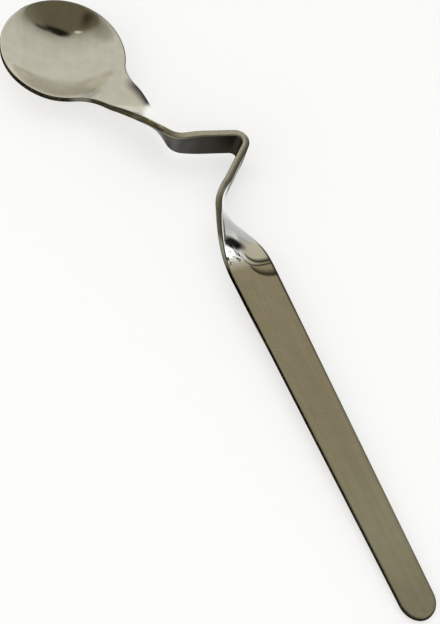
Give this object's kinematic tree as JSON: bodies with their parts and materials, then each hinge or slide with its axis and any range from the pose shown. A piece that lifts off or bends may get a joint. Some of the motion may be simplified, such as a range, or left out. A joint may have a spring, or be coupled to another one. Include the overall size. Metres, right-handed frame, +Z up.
{
  "type": "honey spoon",
  "caption": "Round-bowled honey spoon of stainless sheet, its neck twisted on edge and folded into a hook that hangs on a jar's rim, with a flat tapered handle.",
  "frame": {"origin": "middle of the footprint, on the table that the spoon lies on", "axes": "+X along the handle towards its end, +Z up from the table, the bowl open upwards"},
  "size_m": [0.189, 0.0494, 0.0115],
  "materials": {
    "stainless_sheet": "polished in the bowl, finely rubbed along the handle"
  },
  "bodies": {
    "root": {"bowl": "stainless_sheet", "neck": "stainless_sheet", "rim_hook": "stainless_sheet", "shoulder": "stainless_sheet", "handle": "stainless_sheet"}
  },
  "joints": []
}
